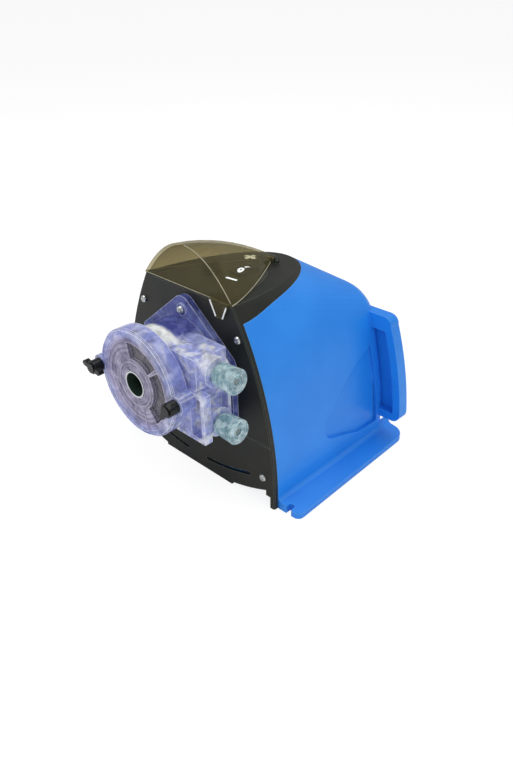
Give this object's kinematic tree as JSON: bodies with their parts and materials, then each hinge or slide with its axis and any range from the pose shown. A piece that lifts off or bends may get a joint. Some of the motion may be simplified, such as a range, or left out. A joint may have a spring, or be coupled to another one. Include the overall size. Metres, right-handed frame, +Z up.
{
  "type": "dosing pump",
  "caption": "Peristaltic dosing pump with a roller head, a curved housing on screw-down flanges and a tinted hood over the controls.",
  "frame": {"origin": "middle of the footprint, on the ground under the base flanges", "axes": "+Z up, +X out of the two ports, -Y out of the front through the pump head"},
  "size_m": [0.248, 0.243, 0.2213],
  "materials": {
    "blue_plastic": "satin moulded",
    "black_plastic": "fine grain",
    "screw_steel": "bright",
    "overlay_film": "satin film",
    "control_black": "satin",
    "component_metal": "plain",
    "hood_tint": "clear bronze",
    "cast_metal": "die cast",
    "motor_steel": "satin",
    "shaft_steel": "ground",
    "bearing_steel": "ground",
    "board_green": "lacquered",
    "post_nylon": "plain",
    "transformer_core": "varnished",
    "terminal_white": "plain",
    "capacitor_sleeve": "sleeve",
    "gland_black": "plain",
    "head_clear": "clear violet blue",
    "cover_clear": "clear violet blue",
    "tube_rubber": "smooth",
    "fitting_clear": "translucent",
    "nut_clear": "translucent, ribbed",
    "ferrule_white": "plain",
    "rotor_grey": "filled",
    "nose_steel": "turned",
    "roller_white": "smooth"
  },
  "bodies": {
    "base": {"rear_housing": "blue_plastic", "front_cover": "black_plastic", "cover_screws": "screw_steel", "control_overlay": "overlay_film", "potentiometer": "component_metal", "switch_bezel": "control_black", "hood_hinge_pin": "screw_steel", "gearbox": "cast_metal", "gearbox_screws": "screw_steel", "motor_can": "motor_steel", "shaft_bearing": "bearing_steel", "circuit_board": "board_green", "board_posts": "post_nylon", "transformer": "transformer_core", "terminal_block": "terminal_white", "capacitor": "capacitor_sleeve", "cable_gland": "gland_black", "gland_nut": "gland_black", "head_bracket": "head_clear", "bracket_screws": "screw_steel", "head_body": "head_clear", "squeeze_tube": "tube_rubber", "tube_fittings": "fitting_clear", "tube_ferrules": "ferrule_white", "head_cover": "cover_clear", "cover_bearing": "bearing_steel"},
    "hood": {"hood": "hood_tint"},
    "rotor": {"output_shaft": "shaft_steel", "rotor_frame": "rotor_grey", "rotor_nose": "nose_steel", "roller_pins": "shaft_steel"},
    "roller_1": {"roller_1": "roller_white"},
    "roller_2": {"roller_2": "roller_white"},
    "roller_3": {"roller_3": "roller_white"},
    "knob": {"rate_knob": "control_black"},
    "rocker": {"switch_rocker": "control_black"},
    "thumb_screw_left": {"thumb_screw_left": "control_black"},
    "thumb_screw_right": {"thumb_screw_right": "control_black"},
    "suction_nut": {"suction_nut": "nut_clear"},
    "discharge_nut": {"discharge_nut": "nut_clear"}
  },
  "joints": [
    {"name": "hood_swing", "type": "hinge", "parent": "base", "child": "hood", "pos_m": [0, 0.05146, 0.18116], "axis": [-1, 0, 0], "range_deg": [0, 95]},
    {"name": "rotor_spin", "type": "hinge", "parent": "base", "child": "rotor", "pos_m": [0, -0.0795, 0.117], "axis": [0, -1, 0], "continuous": true},
    {"name": "roller_1_spin", "type": "hinge", "parent": "rotor", "child": "roller_1", "pos_m": [0, -0.079, 0.1356], "axis": [0, -1, 0], "continuous": true},
    {"name": "roller_2_spin", "type": "hinge", "parent": "rotor", "child": "roller_2", "pos_m": [-0.01611, -0.079, 0.1077], "axis": [0, -1, 0], "continuous": true},
    {"name": "roller_3_spin", "type": "hinge", "parent": "rotor", "child": "roller_3", "pos_m": [0.01611, -0.079, 0.1077], "axis": [0, -1, 0], "continuous": true},
    {"name": "rate_knob_turn", "type": "hinge", "parent": "base", "child": "knob", "pos_m": [-0.014, -0.0075, 0.1809], "axis": [0, 0.0499, 0.9988], "range_deg": [-150, 150]},
    {"name": "switch_rock", "type": "hinge", "parent": "base", "child": "rocker", "pos_m": [0.004, 0.0145, 0.1798], "axis": [-1, 0, 0], "range_deg": [0, 14]},
    {"name": "thumb_screw_left_turn", "type": "hinge", "parent": "base", "child": "thumb_screw_left", "pos_m": [-0.05, -0.1115, 0.117], "axis": [0, -1, 0], "continuous": true},
    {"name": "thumb_screw_right_turn", "type": "hinge", "parent": "base", "child": "thumb_screw_right", "pos_m": [0.05, -0.1115, 0.117], "axis": [0, -1, 0], "continuous": true},
    {"name": "suction_nut_turn", "type": "hinge", "parent": "base", "child": "suction_nut", "pos_m": [0.078, -0.0785, 0.09375], "axis": [1, 0, 0], "continuous": true},
    {"name": "discharge_nut_turn", "type": "hinge", "parent": "base", "child": "discharge_nut", "pos_m": [0.078, -0.0785, 0.14025], "axis": [1, 0, 0], "continuous": true}
  ],
  "couplings": [
    {"joint": "roller_1_spin", "follows": "rotor_spin", "ratio": -3.1882},
    {"joint": "roller_2_spin", "follows": "rotor_spin", "ratio": -3.1882},
    {"joint": "roller_3_spin", "follows": "rotor_spin", "ratio": -3.1882}
  ]
}
